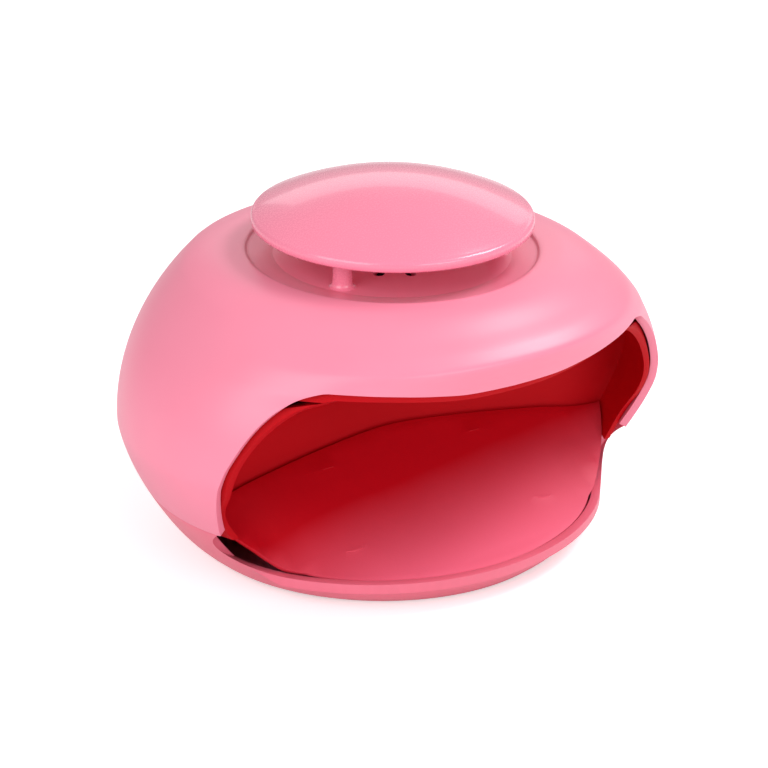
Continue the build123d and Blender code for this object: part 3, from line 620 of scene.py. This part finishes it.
def housing():
    """The pod's skin above the seam, from its lower edge up to the dish's floor."""
    columns = 360
    rings = 64
    samples = 8 * columns
    turns = [2 * pi * i / samples - pi / 2 for i in range(samples + 1)]
    edge = evenly([(turn, lower_edge(turn)) for turn in turns], columns)

    def point(i, j):
        turn, h = edge[i]
        even = 2 * pi * i / columns - pi / 2
        if j < rings:
            t = j / (rings - 1)
            start = in_order(share_by_height, h)
            height = in_order(height_by_share, start + (1 - start) * t)
            bend = t * t * (3 - 2 * t)
            return pod_point(turn + (even - turn) * bend, height)
        radius, height = dish_lip[j - rings]
        return Vector((radius * cos(even), axis_y + radius * sin(even), base_z + height))

    shell = skin("housing_shell", columns, rings + len(dish_lip), point)
    modifier(shell, "SOLIDIFY", thickness=housing_wall * MM, offset=-1.0, use_even_offset=True)
    rounding = {"width": housing_edge_radius * MM, "segments": 3, "angle_limit": radians(50)}
    modifier(shell, "BEVEL", limit_method="ANGLE", **rounding)
    smoothed(shell, 40)
    return shell


slot_count = 12
slot_inner = 8.0
slot_outer = 16.5
slot_width = 2.6
slot_first_turn = 15.0
grille_radius = 29.9
grille_thick = 1.8


def grille():
    """The dish's slotted floor."""
    low = dish_floor_z - grille_thick
    outline = [(0, dish_floor_z), (grille_radius, dish_floor_z), (grille_radius, low), (0, low)]
    floor = spun("intake_grille", outline, 96)
    clear_selection()
    cutters = []
    for index in range(slot_count):
        turn = radians(slot_first_turn + index * 360 / slot_count)
        middle = (slot_inner + slot_outer) / 2
        place = Vector((middle * cos(turn), axis_y + middle * sin(turn), dish_floor_z - 1)) * MM
        bpy.ops.mesh.primitive_cube_add(size=1, location=place, rotation=(0, 0, turn))
        cutter = bpy.context.object
        cutter.scale = ((slot_outer - slot_inner) * MM, slot_width * MM, 6 * MM)
        settle(cutter)
        rounding = {"width": slot_width * 0.49 * MM, "segments": 5, "angle_limit": radians(80)}
        modifier(cutter, "BEVEL", limit_method="ANGLE", affect="EDGES", **rounding)
        cutters.append(cutter)
    for cutter in cutters:
        modifier(floor, "BOOLEAN", operation="DIFFERENCE", object=cutter, solver="EXACT")
        bpy.data.objects.remove(cutter)
    smoothed(floor, 30)
    return floor


def cap():
    """The domed disc with its rolled rim; its three posts come from post()."""
    top = []
    for step in range(27):
        radius = (cap_radius - 1.3) * step / 26
        share = radius / cap_radius
        top.append((radius, cap_rim_z + cap_crown * (1 - share**2)))
    rim = []
    for step in range(1, 9):
        turn = pi / 2 - pi / 2 * step / 8
        rim.append((cap_radius - 1.2 + 1.2 * cos(turn), cap_rim_z - 0.75 + 1.2 * sin(turn)))
    low = cap_rim_z - cap_rim_thick
    under = [(cap_radius, low + 0.5), (cap_radius - 0.5, low), (cap_radius - 1.4, low)]
    under += [(cap_radius - 1.9, low + 0.4), (cap_radius - 2.2, cap_rim_z - 1.2)]
    inner = []
    for step in range(14):
        radius = (cap_radius - 2.6) * (13 - step) / 13
        inner.append((radius, cap_rim_z - 1.9 + cap_crown * (1 - (radius / cap_radius) ** 2)))
    disc = spun("cap_disc", top + rim + under + inner, 192)
    smoothed(disc, 50)
    return disc


def post(index):
    """One of the cap's posts, flared where it meets the dish and the cap."""
    turn = radians(post_angles[index])
    low = dish_floor_z
    outline = [(0.0, low), (3.3, low), (2.8, low + 0.3), (2.5, low + 0.8), (post_radius, low + 1.6)]
    outline += [(post_radius, 85.2), (2.6, 86.0), (0.0, 87.0)]
    piece = spun("cap_post_" + "abc"[index], outline, 32)
    piece.location = Vector((post_circle * cos(turn), post_circle * sin(turn), 0)) * MM
    settle(piece)
    smoothed(piece, 40)
    return piece


# The outer mouldings
shell = housing()
floor_grille = grille()
for piece in (shell, floor_grille):
    paint(piece, housing_pink)
    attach(piece, "body")
    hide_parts("upper_housing")
cap_pieces = [cap()] + [post(index) for index in range(3)]
for piece in cap_pieces:
    paint(piece, cap_pink)
    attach(piece, "body")
    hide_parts("top_cap")

moulded_copy("inner_liner", 0.25)
moulded_copy("base_shell", 0.3)
moulded_copy("hand_tray", 0.3, shape=settled_front)
moulded_copy("battery_door", 0.2)

# Floor and backdrop
clear_selection()
bpy.ops.mesh.primitive_plane_add(size=6.0, location=(0, 0, 0))
ground = bpy.context.object
ground.name = "ground"
ground_finish = Finish("ground_white", Roughness=0.9)
seen = ground_finish.node("ShaderNodeLightPath", None, None, "Is Camera Ray")
glow = ground_finish.mix(seen, (0, 0, 0, 1), (1, 1, 1, 1))
ground_finish.set(Base_Color=(0.9, 0.9, 0.9, 1.0), Emission_Color=glow, Emission_Strength=0.45)
paint(ground, ground_finish)

world = bpy.data.worlds.new("white_room")
bpy.context.scene.world = world
world.use_nodes = True
sky = world.node_tree
backdrop = sky.nodes["Background"]
backdrop.inputs["Color"].default_value = (1, 1, 1, 1)
path = sky.nodes.new("ShaderNodeLightPath")
seen_or_mirrored = sky.nodes.new("ShaderNodeMath")
seen_or_mirrored.operation = "MAXIMUM"
sky.links.new(path.outputs["Is Camera Ray"], seen_or_mirrored.inputs[0])
sky.links.new(path.outputs["Is Transmission Ray"], seen_or_mirrored.inputs[1])
strength = sky.nodes.new("ShaderNodeMapRange")
strength.inputs["To Min"].default_value = 0.48
strength.inputs["To Max"].default_value = 1.0
sky.links.new(seen_or_mirrored.outputs[0], strength.inputs["Value"])
sky.links.new(strength.outputs[0], backdrop.inputs["Strength"])


def lamp(name, place, aim, width, height, power):
    """A soft rectangular studio lamp."""
    light = bpy.data.lights.new(name, "AREA")
    light.shape = "RECTANGLE"
    light.size = width
    light.size_y = height
    light.energy = power
    fixture = bpy.data.objects.new(name, light)
    bpy.context.collection.objects.link(fixture)
    way = Vector(aim) - Vector(place)
    fixture.location = place
    fixture.rotation_euler = way.to_track_quat("-Z", "Y").to_euler()


lamp("left", (-0.75, -0.25, 0.45), (0, 0, 0.04), 0.7, 0.6, 3.8)
lamp("right_top", (0.52, -0.16, 0.74), (0, 0, 0.06), 0.42, 0.32, 4.0)
lamp("front", (0.10, -0.85, 0.35), (0, 0, 0.03), 0.6, 0.3, 2.0)
lamp("back", (0.55, 0.75, 0.42), (0, 0, 0.08), 0.8, 0.3, 0.7)

# Camera
target = Vector((0, axis_y, 41.0)) * MM
back = Vector((sin(view_turn) * cos(view_rise), -cos(view_turn) * cos(view_rise), sin(view_rise)))
level = Vector((cos(view_turn), sin(view_turn), 0))
upward = back.cross(level)
right = cos(view_roll) * level + sin(view_roll) * upward
top = -sin(view_roll) * level + cos(view_roll) * upward
camera = bpy.data.objects.new("camera", bpy.data.cameras.new("camera"))
bpy.context.collection.objects.link(camera)
turned = Matrix((right, top, back)).transposed().to_4x4()
camera.matrix_world = Matrix.Translation(target + back * view_distance) @ turned
camera.data.sensor_width = sensor_mm
camera.data.lens = focal_px / picture_px * sensor_mm
camera.data.shift_x = -shift_px[0] / picture_px
camera.data.shift_y = shift_px[1] / picture_px
bpy.context.scene.camera = camera
bpy.context.scene.view_settings.view_transform = "Standard"
